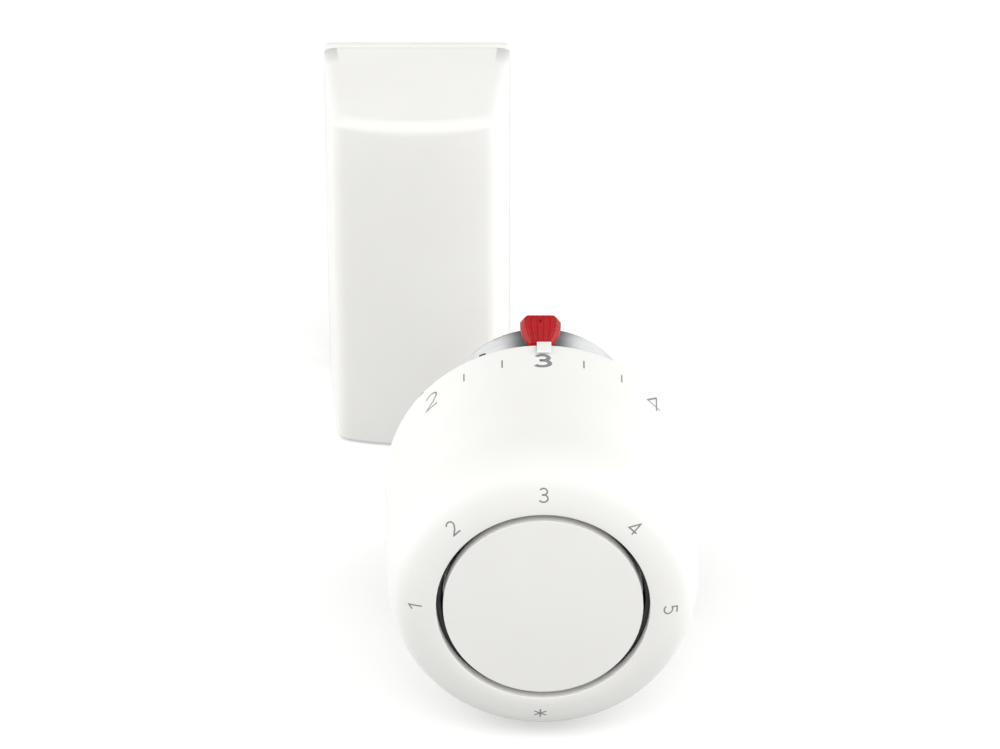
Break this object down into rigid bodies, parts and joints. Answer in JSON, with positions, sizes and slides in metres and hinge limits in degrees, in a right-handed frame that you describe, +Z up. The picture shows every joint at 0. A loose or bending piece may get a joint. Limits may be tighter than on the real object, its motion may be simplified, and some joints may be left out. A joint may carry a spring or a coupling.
{
  "type": "thermostatic radiator valve head with remote sensor",
  "caption": "Round thermostatic valve head with a numbered dial, metal coupling collar and red release button, beside its separate room sensor box.",
  "frame": {"origin": "middle of the bottom of the overall box, on the surface that the dial's back edge and the sensor box stand on", "axes": "+Z up, +Y from the dial's front face through the valve socket to the wall side of the sensor box, +X to the right seen from the front"},
  "size_m": [0.0684, 0.1398, 0.068],
  "materials": {
    "white_plastic": "warm white ABS, satin",
    "grey_plastic": "grey glass-filled nylon and grey print",
    "red_plastic": "bright red, glossy",
    "nickel_plate": "nickel-plated, fine turned",
    "spring_steel": "drawn spring wire and strip",
    "brass": "turned and formed brass",
    "copper": "plain copper, lightly tarnished",
    "black_rubber": "moulded, matt"
  },
  "bodies": {
    "base": {"base_housing": "white_plastic", "end_cap": "white_plastic", "dial_retainer": "spring_steel", "coupling_collar": "nickel_plate", "lock_ring": "spring_steel", "index_pointer": "white_plastic", "limit_pin_low": "grey_plastic", "limit_pin_high": "grey_plastic", "head_gland": "black_rubber", "return_spring": "spring_steel", "release_spring": "spring_steel", "sensor_wall_plate": "white_plastic", "capillary_spool": "grey_plastic", "sensor_bulb": "copper", "bulb_clip_lower": "grey_plastic", "bulb_clip_upper": "grey_plastic", "sensor_grommet": "black_rubber", "sensor_capillary": "copper"},
    "dial": {"setting_dial": "white_plastic", "setting_ring": "grey_plastic"},
    "carriage": {"bellows_carriage": "grey_plastic", "carriage_retainer": "spring_steel", "bellows": "brass", "capillary_stub": "copper", "overtravel_spring": "spring_steel"},
    "pin": {"pressure_pin": "brass"},
    "latch": {"release_button": "red_plastic"},
    "cover": {"sensor_cover": "white_plastic"}
  },
  "joints": [
    {"name": "dial_turn", "type": "hinge", "parent": "base", "child": "dial", "pos_m": [0.0068, -0.06995, 0.0274], "axis": [0, -1, 0], "range_deg": [-180, 90]},
    {"name": "carriage_slide", "type": "slide", "parent": "base", "child": "carriage", "axis": [0, -1, 0], "range_m": [-0.0031, 0.0016]},
    {"name": "pin_slide", "type": "slide", "parent": "carriage", "child": "pin", "axis": [0, 1, 0], "range_m": [0, 0.0025], "stiffness_N_per_m": 500, "deforming": ["return_spring"]},
    {"name": "button_press", "type": "slide", "parent": "base", "child": "latch", "axis": [0, 0, -1], "range_m": [0, 0.0016], "stiffness_N_per_m": 400, "deforming": ["release_spring"]},
    {"name": "cover_pull", "type": "slide", "parent": "base", "child": "cover", "axis": [0, -1, 0], "range_m": [0, 0.03]}
  ],
  "couplings": [
    {"joint": "carriage_slide", "follows": "dial_turn", "m_per_rad": 0.00095493}
  ]
}
